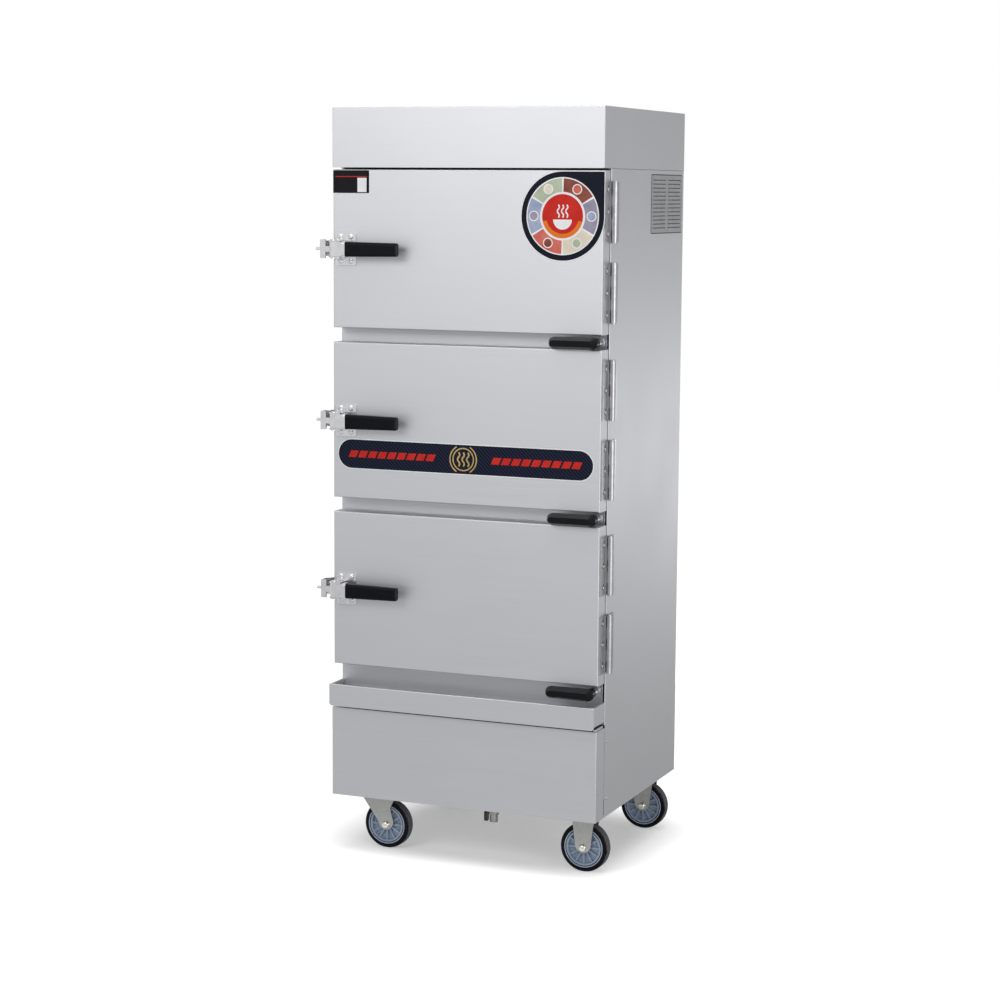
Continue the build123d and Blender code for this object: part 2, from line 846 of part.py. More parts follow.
def keeper(bottom):
    """Hooked striker on the side panel, with its adjusting bolt, nut and two screws."""
    z = latch_middle(bottom)
    wall = -body_half
    skin = wall - keeper_sheet
    back = keeper_flange_start + keeper_flange
    inner_arm = keeper_outer_x + keeper_sheet
    lip_back = keeper_lip_y + keeper_sheet
    outline = [
        (wall, back), (skin, back), (skin, -keeper_jog_start), (keeper_outer_x, -keeper_jog_end),
        (keeper_outer_x, keeper_lip_y), (keeper_lip_x, keeper_lip_y), (keeper_lip_x, lip_back),
        (inner_arm, lip_back), (inner_arm, -keeper_jog_end), (wall, -keeper_jog_start),
    ]
    hook = upright_plate(make_face(Polyline(outline, close=True)), z - keeper_height / 2, keeper_height)
    bolt_start = (inner_arm + keeper_sheet, keeper_bolt_y, z)
    hook -= rod(bolt_start, (-1, 0, 0), keeper_bolt_radius + bore_clearance, keeper_nut_across)
    bolt = rod(bolt_start, (-1, 0, 0), keeper_bolt_radius, keeper_bolt_length - keeper_sheet)
    nut_start = (keeper_outer_x, keeper_bolt_y, z)
    bolt += hex_bar(nut_start, (-1, 0, 0), keeper_nut_across, keeper_nut_height)
    pieces = [hook, bolt]
    for screw_z in around(z, keeper_height / 2):
        start = (skin, keeper_flange_start + keeper_flange / 2, screw_z)
        pieces.append(pan_screw(start, (-1, 0, 0), keeper_screw_radius, keeper_screw_height))
    return pieces


# Steam handles and pipes
def steam_handle(bottom):
    """Lever handle with bevelled sides, its boss and the valve spindle."""
    z = valve_height(bottom)
    middle_x = valve_x + handle_height / 2 - handle_length / 2
    front = Plane(origin=(middle_x, 0, z), x_dir=(1, 0, 0), z_dir=(0, -1, 0))
    outline = SlotOverall(handle_length, handle_height)
    rim = front.offset(handle_back) * outline
    edge = front.offset(handle_back + handle_edge) * outline
    face = front.offset(handle_front) * SlotOverall(handle_face_length, handle_face_height)
    arm = extrude(rim, handle_edge, dir=(0, -1, 0)) + loft([edge, face])
    boss_length = handle_back - bonnet_length - seam
    boss = rod((valve_x, -handle_back, z), (0, 1, 0), handle_boss_radius, boss_length)
    spindle_length = handle_back + handle_edge
    spindle = rod((valve_x, -spindle_length, z), (0, 1, 0), spindle_radius, spindle_length)
    return joined([arm, boss, spindle])


def steam_valve(bottom):
    """Valve body in the pipe chase with a bonnet that reaches out to the handle."""
    z = valve_height(bottom)
    foot = (valve_x, valve_y, z - valve_body_height / 2)
    body = rod(foot, (0, 0, 1), valve_body_radius, valve_body_height)
    body += rod((valve_x, -bonnet_length, z), (0, 1, 0), bonnet_radius, bonnet_length + valve_y)
    nut_start = (valve_x, -bonnet_nut_height, z)
    body += hex_bar(nut_start, (0, 1, 0), bonnet_nut_across, bonnet_nut_height)
    start = (valve_x, -bonnet_length - overrun, z)
    return body - rod(start, (0, 1, 0), spindle_radius + bore_clearance, bonnet_length + 2 * overrun)


def pipe_run(points, radius):
    """Straight pipes from point to point, each run on past its corners by its radius."""
    runs = []
    for low, high in zip(points[:-1], points[1:]):
        path = Vector(*high) - Vector(*low)
        start = Vector(*low) - path.normalized() * radius
        runs.append(rod(tuple(start), tuple(path), radius, path.length + 2 * radius))
    return runs


def steam_pipes():
    """Riser from the tank with a branch, a valve and an outlet for each compartment."""
    cross_z = cross_pipe_z
    highest = valve_height(door_bottoms[-1]) - branch_drop
    riser = [(outlet_x, riser_y, cross_z), (valve_x, riser_y, cross_z), (valve_x, riser_y, highest)]
    pieces = pipe_run(riser, pipe_radius)
    outlet_foot = (outlet_x, riser_y, tank_top - tank_wall)
    pieces.append(rod(outlet_foot, (0, 0, 1), pipe_radius, cross_z - outlet_foot[2]))
    for bottom in door_bottoms:
        z = valve_height(bottom)
        outlet_z = mouth_spans(bottom)[1][0] + outlet_rise
        low = z - branch_drop if bottom != door_bottoms[0] else cross_z
        inlet = [(valve_x, riser_y, low), (valve_x, valve_y, low), (valve_x, valve_y, z)]
        outlet = [(valve_x, valve_y, z), (valve_x, valve_y, outlet_z)]
        pieces += pipe_run(inlet, pipe_radius)
        pieces += pipe_run(outlet, pipe_radius)
        nozzle_start = (valve_x + pipe_radius, valve_y, outlet_z)
        nozzle_end = mouth_half - nozzle_length
        pieces.append(rod(nozzle_start, (-1, 0, 0), pipe_radius, nozzle_start[0] - nozzle_end))
        pieces.append(steam_valve(bottom))
    return joined(pieces)


# Water tank
def heater_rows():
    """Y of each heater's middle."""
    return [heater_first + heater_pitch * row for row in range(heater_count)]


def water_tank():
    """Closed sheet tank with holes for steam, heaters, feed and drain."""
    x = around(0, tank_width)
    y = (tank_front, tank_back)
    z = (tank_bottom, tank_top)
    tank = block(x, y, z) - block(grown(x, -tank_wall), grown(y, -tank_wall), grown(z, -tank_wall))
    tank -= rod((outlet_x, riser_y, tank_top - overrun), (0, 0, 1), pipe_radius + seam, 2 * overrun)
    tank -= rod((drain_x, drain_y, tank_bottom - overrun), (0, 0, 1), drain_radius + seam, 2 * overrun)
    tank -= rod((inlet_x, tank_back - overrun, inlet_z), (0, 1, 0), inlet_radius + seam, 2 * overrun)
    for row in heater_rows():
        for heater_y in around(row, heater_spacing):
            start = (x[1] - overrun, heater_y, tank_bottom + heater_height)
            tank -= rod(start, (1, 0, 0), heater_radius + heater_hole_clearance, 2 * overrun)
    return tank


def heating_element(row):
    """Hairpin heater on a round flange with two terminals."""
    z = tank_bottom + heater_height
    wall = tank_width / 2
    pieces = [rod((wall, row, z), (1, 0, 0), heater_flange_radius, heater_flange_thickness)]
    for y in around(row, heater_spacing):
        pieces.append(rod((wall, y, z), (-1, 0, 0), heater_radius, heater_length))
        terminal = (wall + heater_flange_thickness, y, z)
        pieces.append(rod(terminal, (1, 0, 0), heater_terminal_radius, heater_terminal_length))
    bend_x = wall - heater_length
    bend = Pos(bend_x, row + heater_spacing / 2, z) * Rot(0, 90, 0) * Circle(heater_radius)
    turn_axis = Axis((bend_x, row, z), (0, 0, 1))
    pieces.append(revolve(bend, turn_axis, 180))
    return joined(pieces)


def water_inlet():
    """Feed fitting through the back panel that ends in the float valve's clevis."""
    hex_start = body_depth
    reach = (inlet_x, body_depth + inlet_reach, inlet_z)
    block_y = (tank_back - tank_wall - float_block, tank_back - tank_wall)
    pipe = rod(reach, (0, -1, 0), inlet_radius, body_depth + inlet_reach - block_y[1])
    collar = hex_bar((inlet_x, hex_start, inlet_z), (0, 1, 0), inlet_hex_across, inlet_hex_length)
    valve = block(around(inlet_x, float_block), block_y, around(inlet_z, float_block))
    pivot_y = float_pivot_y()
    cheek_reach = (pivot_y - float_block / 2, block_y[0])
    cheeks = block(around(inlet_x, float_block), cheek_reach, around(inlet_z, float_block))
    slot = float_block - 2 * float_cheek
    slot_z = around(inlet_z, 2 * float_block)
    cheeks -= block(around(inlet_x, slot), grown(cheek_reach, overrun), slot_z)
    pin = rod((inlet_x - float_block / 2, pivot_y, inlet_z), (1, 0, 0), float_pin_radius, float_block)
    return joined([pipe, collar, valve, cheeks, pin])


def float_pivot_y():
    """Y of the float arm's pivot, in front of the valve block."""
    return tank_back - tank_wall - float_block - float_block / 2 - seam


def float_arm():
    """Arm with its eye between the cheeks and the hollow float at its end."""
    pivot = Vector(inlet_x, float_pivot_y(), inlet_z)
    slot = float_block - 2 * float_cheek - 2 * seam
    eye_radius = float_block / 2 - seam
    eye = rod((inlet_x - slot / 2, pivot.Y, inlet_z), (1, 0, 0), eye_radius, slot)
    droop = math.radians(float_droop_degrees)
    path = Vector(0, -math.cos(droop), -math.sin(droop)) * float_arm_length
    arm = rod(tuple(pivot), tuple(path), float_arm_radius, float_arm_length)
    ball = Pos(*(pivot + path)) * Sphere(float_ball_radius)
    bore_start = (inlet_x - float_block, pivot.Y, inlet_z)
    bore = rod(bore_start, (1, 0, 0), float_pin_radius + bore_clearance, 2 * float_block)
    return joined([eye, arm, ball]) - bore


def drain_valve():
    """Drain pipe from the tank's floor through a valve body to an open outlet."""
    start = (drain_x, drain_y, drain_outlet_z)
    pipe_length = tank_bottom + tank_wall - drain_outlet_z
    pipe = rod(start, (0, 0, 1), drain_radius, pipe_length)
    body_start = (drain_x, drain_y, drain_body_bottom)
    body = rod(body_start, (0, 0, 1), drain_body_radius, drain_body_top - drain_body_bottom)
    bore_start = (drain_x, drain_y, drain_outlet_z - overrun)
    bore_radius = drain_radius - pipe_wall
    bore = rod(bore_start, (0, 0, 1), bore_radius, pipe_length + 2 * overrun)
    pivot = drain_pivot()
    root_x = drain_x - (drain_body_radius + bore_radius) / 2
    spindle_length = drain_spindle_length + root_x - pivot[0]
    spindle = rod((root_x, pivot[1], pivot[2]), (-1, 0, 0), drain_spindle_radius, spindle_length)
    return joined([pipe + body + spindle - bore])


def drain_pivot():
    """Where the drain valve's spindle leaves its body."""
    return (drain_x - drain_body_radius, drain_y, (drain_body_bottom + drain_body_top) / 2)


def drain_lever():
    """Short lever on the spindle, cranked outward to a dipped grip."""
    x, y, z = drain_pivot()
    outer = x - drain_spindle_length
    hub_x = outer + lever_hub_length
    hub = rod((hub_x, y, z), (-1, 0, 0), drain_lever_width / 2, lever_hub_length)
    arm_x = (outer, outer + drain_lever_thickness)
    grip_z = z - drain_lever_length + drain_grip_length / 2
    arm = block(arm_x, around(y, drain_lever_width), (grip_z, z))
    grip = Box(lever_hub_length, drain_lever_foot, drain_grip_length)
    grip = fillet(grip.edges().filter_by(Axis.X), drain_lever_foot / 3)
    grip = Pos(sum(arm_x) / 2, y, grip_z) * grip
    bore_radius = drain_spindle_radius + bore_clearance
    bore = rod((hub_x + overrun, y, z), (-1, 0, 0), bore_radius, lever_hub_length + 2 * overrun)
    return joined([hub, arm, grip]) - bore


def cable_gland():
    """Cable gland through the back panel, with an open bore."""
    start_y = body_depth - sheet - gland_hex_length
    gland_length = 2 * gland_hex_length + sheet + gland_dome_length
    gland = rod((gland_x, start_y, gland_z), (0, 1, 0), gland_radius, gland_length)
    gland += hex_bar((gland_x, body_depth, gland_z), (0, 1, 0), gland_hex_across, gland_hex_length)
    gland += hex_bar((gland_x, start_y, gland_z), (0, 1, 0), gland_hex_across, gland_hex_length)
    end_edges = gland.edges().group_by(Axis.Y)[-1]
    gland = chamfer(end_edges, gland_radius / 3)
    bore_start = (gland_x, start_y - overrun, gland_z)
    return gland - rod(bore_start, (0, 1, 0), gland_bore_radius, body_depth)


# Casters
def fork_legs(axle_x, y, top_x, top_z, waist):
    """Two fork legs from a top edge, past the points of a waist if any, to a round foot."""
    top_left, top_right = top_x
    foot_z = wheel_radius + fork_foot_rise
    foot = Pos(axle_x, foot_z) * Circle(fork_foot_radius)
    side = fork_foot_radius
    corners = [(top_left, top_z), (top_right, top_z)] + waist
    corners += [(axle_x + side, foot_z), (axle_x - side, foot_z)]
    outline = make_face(Polyline(corners, close=True)) + foot
    legs = []
    gap = hub_width / 2 + fork_gap
    for side_y in (y - gap - fork_sheet, y + gap):
        front = Plane(origin=(0, side_y, 0), x_dir=(1, 0, 0), z_dir=(0, -1, 0))
        legs.append(extrude(front.offset(-fork_sheet) * outline, fork_sheet, dir=(0, -1, 0)))
    return legs


def wheel_axle(axle_x, y):
    """Axle bolt with its head and nut outside the fork."""
    outside = hub_width / 2 + fork_gap + fork_sheet
    start = (axle_x, y - outside, wheel_radius)
    axle = rod(start, (0, 1, 0), axle_radius, 2 * outside)
    end = (axle_x, y + outside, wheel_radius)
    head = hex_bar(start, (0, -1, 0), 2 * axle_head_radius, axle_head_height)
    nut = hex_bar(end, (0, 1, 0), 2 * axle_head_radius, axle_head_height)
    return joined([axle, head, nut])


def axle_bore(axle_x, y, width):
    """Hole for the axle bolt."""
    return rod((axle_x, y - width / 2, wheel_radius), (0, 1, 0), axle_radius + bore_clearance, width)


def fork_width():
    """Width over the two legs."""
    return hub_width + 2 * (fork_gap + fork_sheet)


def caster_plate(x, y):
    """Square top plate with four bolt heads under it."""
    z = (frame_bottom - caster_plate_thickness, frame_bottom)
    plate = block(around(x, caster_plate_length), around(y, cross_rail_width), z)
    plate = fillet(plate.edges().filter_by(Axis.Z), fork_sheet)
    bolts = []
    for bolt_x in around(x, caster_bolt_spacing_x):
        for bolt_y in around(y, caster_bolt_spacing_y):
            seat = (bolt_x, bolt_y, z[0])
            bolts.append(hex_bar(seat, (0, 0, -1), caster_bolt_across, caster_bolt_height))
    return plate, bolts


def rigid_caster(y):
    """Fixed caster: plate and fork in one pressing, its axle bolt and four plate bolts."""
    plate, bolts = caster_plate(rigid_caster_x, y)
    top_z = frame_bottom - caster_plate_thickness / 2
    legs = fork_legs(rigid_caster_x, y, around(rigid_caster_x, fork_top_length), top_z, [])
    fork = joined([plate] + legs) - axle_bore(rigid_caster_x, y, 2 * fork_width())
    return [fork, wheel_axle(rigid_caster_x, y)] + bolts


def swivel_levels():
    """Heights of the raceway's underside, the crown's top and the kingpin head's top."""
    raceway = frame_bottom - caster_plate_thickness - raceway_height
    crown = raceway - raceway_gap
    head = crown - fork_sheet - raceway_gap
    return raceway, crown, head


def swivel_plate(y):
    """Fixed half of a swivel caster: plate, raceway, kingpin and four plate bolts."""
    plate, bolts = caster_plate(swivel_x, y)
    raceway, crown, head = swivel_levels()
    plate_bottom = frame_bottom - caster_plate_thickness
    race = rod((swivel_x, y, plate_bottom), (0, 0, -1), raceway_radius, raceway_height)
    pin = rod((swivel_x, y, raceway), (0, 0, -1), kingpin_radius, raceway - head)
    pin += rod((swivel_x, y, head), (0, 0, -1), kingpin_head_radius, kingpin_head_height)
    return [joined([plate, race, pin])] + bolts


def swivel_fork(y):
    """Turning half of a swivel caster, with its trailing legs and axle bolt."""
    crown_z = swivel_levels()[1]
    top_x = (swivel_x - fork_crown_left, swivel_x + fork_crown_right)
    waist = [(swivel_wheel_x + fork_waist_reach, wheel_radius + fork_waist_rise)]
    legs = fork_legs(swivel_wheel_x, y, top_x, crown_z, waist)
    crown = block(top_x, around(y, fork_width()), (crown_z - fork_sheet, crown_z))
    bore_start = (swivel_x, y, crown_z - overrun)
    crown -= rod(bore_start, (0, 0, 1), kingpin_radius + bore_clearance, 2 * overrun)
    fork = joined([crown] + legs) - axle_bore(swivel_wheel_x, y, 2 * fork_width())
    return group([fork, wheel_axle(swivel_wheel_x, y)])


def about_axle(profile, axle_x, y):
    """Solid of revolution about an axle, from a profile of radius and width."""
    upright = Plane(origin=(axle_x, y, wheel_radius), x_dir=(1, 0, 0), z_dir=(0, 0, 1))
    axis = Axis((axle_x, y, wheel_radius), (0, 1, 0))
    return revolve(upright * profile, axis, 360)


def tyre(axle_x, y):
    """Round-shouldered solid tyre."""
    depth = wheel_radius - tyre_inner_radius
    profile = Pos(tyre_inner_radius + depth / 2, 0) * Rectangle(depth, tyre_width)
    profile = fillet(profile.vertices().group_by(Axis.X)[-1], tyre_shoulder)
    return about_axle(profile, axle_x, y)


def hub(axle_x, y):
    """Wheel centre: boss, thin web, rim and radial ribs on both faces."""
    rim_inner = tyre_inner_radius - hub_rim
    boss = Pos(hub_boss_radius / 2, 0) * Rectangle(hub_boss_radius, hub_width)
    web = Pos(rim_inner / 2, 0) * Rectangle(rim_inner, hub_web)
    rim = Pos(rim_inner + hub_rim / 2, 0) * Rectangle(hub_rim, tyre_width)
    centre = about_axle(boss + web + rim, axle_x, y)
    rib_length = rim_inner + hub_rim / 2
    rib_depth = tyre_width - 2 * hub_rib_relief
    rib = Pos(rib_length / 2, 0, 0) * Box(rib_length, rib_depth, hub_rib_thickness)
    for index in range(hub_rib_count):
        turn = Pos(axle_x, y, wheel_radius) * Rot(0, 360 / hub_rib_count * index, 0)
        centre += turn * rib
    return centre - axle_bore(axle_x, y, 2 * hub_width)


# Gather the nodes
nodes["side_panel_left"] = side_panel(-1)
nodes["side_panel_right"] = side_panel(1)
nodes["back_panel"] = back_panel()
nodes["front_frame"] = front_frame()
nodes["top_cap"] = top_cap()
nodes["insulation"] = insulation()
for name, bottom in zip(door_names, door_bottoms):
    nodes[f"{name}_liner"] = liner(bottom)
nodes["tray_racks"] = group([tray_rack(bottom, side) for bottom in door_bottoms for side in (-1, 1)])
nodes["base_frame"] = base_frame()
nodes["drip_tray"] = drip_tray()
nodes["lower_front_panel"] = group([lower_front_panel(), *panel_screws()])
nodes["water_tank"] = water_tank()
nodes["heating_elements"] = group([heating_element(row) for row in heater_rows()])
nodes["water_inlet_valve"] = water_inlet()
nodes["float_arm"] = float_arm()
nodes["steam_pipes"] = steam_pipes()
nodes["drain_valve"] = drain_valve()
nodes["drain_lever"] = drain_lever()
nodes["cable_gland"] = cable_gland()

hinges = [z for bottom in door_bottoms for z in hinge_spans(bottom)]
body_screw_x = body_half + leaf_thickness
body_leaves = [body_hinge_leaf(z) for z in hinges]
for z in hinges:
    body_leaves += leaf_screws(body_screw_x, leaf_screw_reach, z)
nodes["body_hinge_leaves"] = group(body_leaves)
nodes["hinge_pins"] = group([hinge_pin(z) for z in hinges])
nodes["latch_keepers"] = group([piece for bottom in door_bottoms for piece in keeper(bottom)])

for name, bottom in zip(door_names, door_bottoms):
    nodes[f"{name}_door_skin"] = door_skin(bottom)
    nodes[f"{name}_door_inner_panel"] = door_inner_panel(bottom)
    nodes[f"{name}_door_gasket"] = door_gasket(bottom)
    leaves = [door_hinge_leaf(z) for z in hinge_spans(bottom)]
    for z in hinge_spans(bottom):
        leaves += leaf_screws(door_half + leaf_thickness, -leaf_screw_reach, z)
    nodes[f"{name}_door_hinge_leaves"] = group(leaves)
    nodes[f"{name}_latch_base"] = latch_base(bottom)
    nodes[f"{name}_latch_lever"] = latch_lever(bottom)
    nodes[f"{name}_latch_grip"] = latch_grip(bottom)
    nodes[f"{name}_steam_handle"] = steam_handle(bottom)

nodes["rigid_caster_forks"] = group([piece for y in caster_rows for piece in rigid_caster(y)])
nodes["swivel_caster_plates"] = group([piece for y in caster_rows for piece in swivel_plate(y)])
for row, y in zip(("front", "rear"), caster_rows):
    nodes[f"{row}_left_swivel_fork"] = swivel_fork(y)
    for side, x in (("left", swivel_wheel_x), ("right", rigid_caster_x)):
        nodes[f"{row}_{side}_tyre"] = tyre(x, y)
        nodes[f"{row}_{side}_hub"] = hub(x, y)

# The origin goes on the floor, under the middle of the box round the whole cabinet
all_solids = [solid for node in nodes.values() for solid in node.solids()]
overall = Compound(children=all_solids).bounding_box()
origin_x = round((overall.min.X + overall.max.X) / 2, 1)
origin_y = round((overall.min.Y + overall.max.Y) / 2, 1)
to_origin = Location((-origin_x, -origin_y, 0))

if __name__ == "__main__":
    os.makedirs("parts", exist_ok=True)
    for name, shape in nodes.items():
        export_step(shape.moved(to_origin), f"parts/{name}.step")
    print("overall size", [round(value, 2) for value in overall.size])
    print("origin", origin_x, origin_y, "nodes", len(nodes))
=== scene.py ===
"""Steamer cabinet: the photograph's view, a white studio, the finishes and the printed pieces.

Lengths are millimetres in the cabinet's own frame and turned to metres as each piece is placed.
The studio at the end is in metres, in the row's frame.
"""
import math

import bmesh
import bpy
from mathutils import Matrix, Vector


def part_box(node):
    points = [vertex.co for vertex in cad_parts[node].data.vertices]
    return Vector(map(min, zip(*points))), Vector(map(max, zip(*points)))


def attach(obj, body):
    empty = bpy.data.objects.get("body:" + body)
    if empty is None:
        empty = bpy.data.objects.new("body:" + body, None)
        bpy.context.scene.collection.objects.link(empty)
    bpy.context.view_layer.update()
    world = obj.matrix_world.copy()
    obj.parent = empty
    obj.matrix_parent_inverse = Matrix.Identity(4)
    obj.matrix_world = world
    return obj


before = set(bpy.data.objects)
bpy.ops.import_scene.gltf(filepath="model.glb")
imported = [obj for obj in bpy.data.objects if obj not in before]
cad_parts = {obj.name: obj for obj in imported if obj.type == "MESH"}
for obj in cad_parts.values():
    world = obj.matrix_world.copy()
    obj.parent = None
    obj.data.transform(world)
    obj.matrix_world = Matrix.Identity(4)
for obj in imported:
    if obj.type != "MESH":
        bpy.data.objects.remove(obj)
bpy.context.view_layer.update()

scene = bpy.context.scene

# The cabinet's own frame has its zero on the floor, in the plane of the hinge pins, midway across
# the body. In the row's frame that point lies here.
ROW_ZERO = Vector((10.3, -238.0, 0.0))
QUARTER = math.pi / 2
NEAR = 0.001  # vertices closer than this are one, mm


def placed(x, y, z):
    """A point of the cabinet's frame in the row's, in metres."""
    return (Vector((x, y, z)) + ROW_ZERO) / 1000


def corners(node):
    """Lowest and highest corner of a CAD node in the cabinet's frame, in millimetres."""
    low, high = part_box(node)
    return low * 1000 - ROW_ZERO, high * 1000 - ROW_ZERO


def put(name, data):
    """A new object in the scene."""
    made = bpy.data.objects.new(name, data)
    scene.collection.objects.link(made)
    return made


def mesh_of(name, bm):
    """A mesh of what a bmesh holds. The bmesh is freed."""
    mesh = bpy.data.meshes.new(name)
    bm.to_mesh(mesh)
    bm.free()
    return mesh


# Camera

# Fitted to the cabinet's straight edges in the photograph. Angles are radians.
EYE = (2310.02, -5389.41, 1685.3)
HEADING, PITCH, ROLL = 0.39292, -0.1291, -0.00699

lens = bpy.data.cameras.new("view")
lens.sensor_width = 36
lens.lens = 85.44
lens.clip_end = 300
camera = put("view", lens)
camera.matrix_world = (
    Matrix.Translation(placed(*EYE))
    @ Matrix.Rotation(HEADING, 4, "Z")
    @ Matrix.Rotation(PITCH, 4, "X")
    @ Matrix.Rotation(ROLL, 4, "Y")
    @ Matrix.Rotation(QUARTER, 4, "X")
)
scene.camera = camera
scene.view_settings.view_transform = "Standard"


# Finishes

def linear(code):
    """Linear colour of an sRGB hex value."""
    parts = [int(code[i:i + 2], 16) / 255 for i in (1, 3, 5)]
    return (*[c / 12.92 if c <= 0.04045 else ((c + 0.055) / 1.055) ** 2.4 for c in parts], 1.0)


def bare(block):
    """Turns a material's or world's nodes on and clears them."""
    block.use_nodes = True
    block.node_tree.nodes.clear()
    return block


def add(finish, kind, settings=(), links=()):
    """Adds a node. Settings fill sockets or properties, links join sockets to outputs. A socket
    goes by its name or number."""
    node = finish.node_tree.nodes.new("ShaderNode" + kind)
    for name, value in dict(settings).items():
        if isinstance(name, int) or name in node.inputs:
            node.inputs[name].default_value = value
        else:
            setattr(node, name, value)
    for name, source in dict(links).items():
        finish.node_tree.links.new(source, node.inputs[name])
    return node


def surface(name, settings):
    """A new finish with its shader and object coordinates."""
    finish = bare(bpy.data.materials.new(name))
    shader = add(finish, "BsdfPrincipled", settings)
    add(finish, "OutputMaterial", links={"Surface": shader.outputs[0]})
    return finish, shader, add(finish, "TexCoord").outputs["Object"]


def pattern(finish, at, per_metre, low=0.0, high=1.0, detail=2.0, stretch=(1, 1, 1)):
    """Noise with so many spots a metre, read from low to high."""
    spread = add(finish, "Mapping", {"Scale": stretch}, {"Vector": at})
    noise = add(finish, "TexNoise", {"Scale": per_metre, "Detail": detail},
                {"Vector": spread.outputs[0]})
    # The noise seldom leaves 0.3 to 0.7.
    span = {"From Min": 0.3, "From Max": 0.7, "To Min": low, "To Max": high}
    return add(finish, "MapRange", span, {"Value": noise.outputs[0]}).outputs[0]


def dress(finish, shader, share, first, second, rough, height, depth, under=None):
    """Gives a shader two hex colours mixed by a share, a roughness, and a relief that a height
    raises by up to a depth in metres, over an earlier relief."""
    # Sockets 6 and 7 of a Mix node are its two colours.
    tint = add(finish, "Mix", {"data_type": "RGBA", 6: linear(first), 7: linear(second)}, {0: share})
    raised = add(finish, "Bump", {"Strength": 1.0, "Distance": depth}, {"Height": height})
    links = finish.node_tree.links
    if under:
        links.new(under, raised.inputs["Normal"])
    links.new(tint.outputs[2], shader.inputs["Base Color"])
    links.new(rough, shader.inputs["Roughness"])
    links.new(raised.outputs[0], shader.inputs["Normal"])


def line_grained_stainless(name, grain):
    """304 stainless sheet, cold rolled and belt ground along one direction.

    The eye gets a pale neutral satin with very faint streaks along the grain, slow clouding where
    the sheet is not quite flat, and a soft reflection of the room.
    """
    finish, shader, at = surface(name, {"Metallic": 1.0})
    # Belt lines are 0.1 mm apart, too fine to show, so they are drawn at 2.5 mm and 250 mm long.
    across, along = 400, 4
    stretch = [along if axis == grain else across for axis in "XYZ"]
    streak = pattern(finish, at, 1.0, detail=1.0, stretch=stretch)
    cloud = pattern(finish, at, 3.0)
    lined = add(finish, "MapRange", {"To Min": 0.48, "To Max": 0.53}, {"Value": streak})
    clouded = add(finish, "MapRange", {"To Min": -0.02, "To Max": 0.02}, {"Value": cloud})
    rough = add(finish, "Math", {"operation": "ADD"}, {0: lined.outputs[0], 1: clouded.outputs[0]})
    # Sheet this thin is out of flat by about 0.2 mm over 300 mm.
    wave = add(finish, "Bump", {"Strength": 1.0, "Distance": 0.0002}, {"Height": cloud})
    dress(finish, shader, streak, "#c1c2c5", "#c4c5c8", rough.outputs[0], streak, 0.000002,
          wave.outputs[0])
    return finish


def mill_stainless():
    """304 stainless with the mill's 2B finish: smoother than ground sheet, cloudy, greyer."""
    finish, shader, at = surface("mill_finish_stainless", {"Metallic": 1.0})
    dress(finish, shader, pattern(finish, at, 5.0), "#c6c7ca", "#cfd0d3",
          pattern(finish, at, 14.0, 0.26, 0.34, 4.0), pattern(finish, at, 6.0), 0.0003)
    return finish


def buffed_steel(name, first, second, smooth, scuffed):
    """Small pressed fittings, tumbled and buffed: bright, with soft ripples and fine scuffs."""
    finish, shader, at = surface(name, {"Metallic": 1.0})
    ripple = pattern(finish, at, 60.0)
    dress(finish, shader, ripple, first, second, pattern(finish, at, 900.0, smooth, scuffed, 3.0),
          ripple, 0.00003)
    return finish


def zinc_plate():
    """Bright zinc plate on pressed steel: a cool grey with faint crystals and a low gloss."""
    finish, shader, at = surface("bright_zinc_plate", {"Metallic": 1.0})
    crystal = add(finish, "TexVoronoi", {"Scale": 220.0}, {"Vector": at})
    share = add(finish, "SeparateColor", links={0: crystal.outputs["Color"]})
    dress(finish, shader, share.outputs[0], "#a3a4a2", "#acadaa",
          pattern(finish, at, 60.0, 0.32, 0.42, 3.0), pattern(finish, at, 700.0), 0.00003)
    return finish


def moulded(name, first, second, rough, grain_per_metre, depth, gleam=0.5, sheen=0.0):
    """Moulded plastic or rubber: one colour barely mottled, with the mould's fine texture."""
    finish, shader, at = surface(name, {"IOR": 1.5, "Specular IOR Level": gleam,
                                        "Sheen Weight": sheen, "Sheen Roughness": 0.5})
    dress(finish, shader, pattern(finish, at, 30.0, detail=3.0), first, second,
          pattern(finish, at, 45.0, rough - 0.05, rough + 0.05, 3.0),
          pattern(finish, at, grain_per_metre), depth)
    return finish


def tyre_rubber():
    """Black thermoplastic rubber, moulded and run in: dark walls, and a scuffed tread greyed by a
    painted highlight.
    """
    finish, shader, at = surface("thermoplastic_rubber_tyre",
                                 {"IOR": 1.5, "Specular IOR Level": 0.1})
    # The walls face along the axle, which is Y.
    facing = add(finish, "SeparateXYZ", links={0: add(finish, "TexCoord").outputs["Normal"]})
    wall = add(finish, "Math", {"operation": "ABSOLUTE"}, {0: facing.outputs["Y"]})
    scuffs = pattern(finish, at, 90.0, -0.2, 0.2, 4.0)
    edge = add(finish, "Math", {"operation": "ADD"}, {0: wall.outputs[0], 1: scuffs})
    # The tread's grey is partly scuffing and partly a painted highlight, the grey that a lit tread
    # shows.
    span = {"From Min": 0.35, "From Max": 0.75, "To Min": 1.0, "To Max": 0.0}
    scuffed_and_lit_tread = add(finish, "MapRange", span, {"Value": edge.outputs[0]}).outputs[0]
    rough = add(finish, "MapRange", {"To Min": 0.34, "To Max": 0.7}, {"Value": scuffed_and_lit_tread})
    dress(finish, shader, scuffed_and_lit_tread, "#08090d", "#5e5b5f", rough.outputs[0],
          pattern(finish, at, 400.0), 0.0001)
    return finish


def foamed_polyurethane():
    """Foamed-in-place polyurethane: pale straw skin full of fine cells."""
    finish, shader, at = surface("polyurethane_foam", {"IOR": 1.45})
    cells = add(finish, "TexVoronoi", {"Scale": 350.0}, {"Vector": at})
    dress(finish, shader, pattern(finish, at, 12.0), "#cdbf92", "#e0d5ad",
          pattern(finish, at, 20.0, 0.85, 0.95), cells.outputs["Distance"], 0.0008)
    return finish


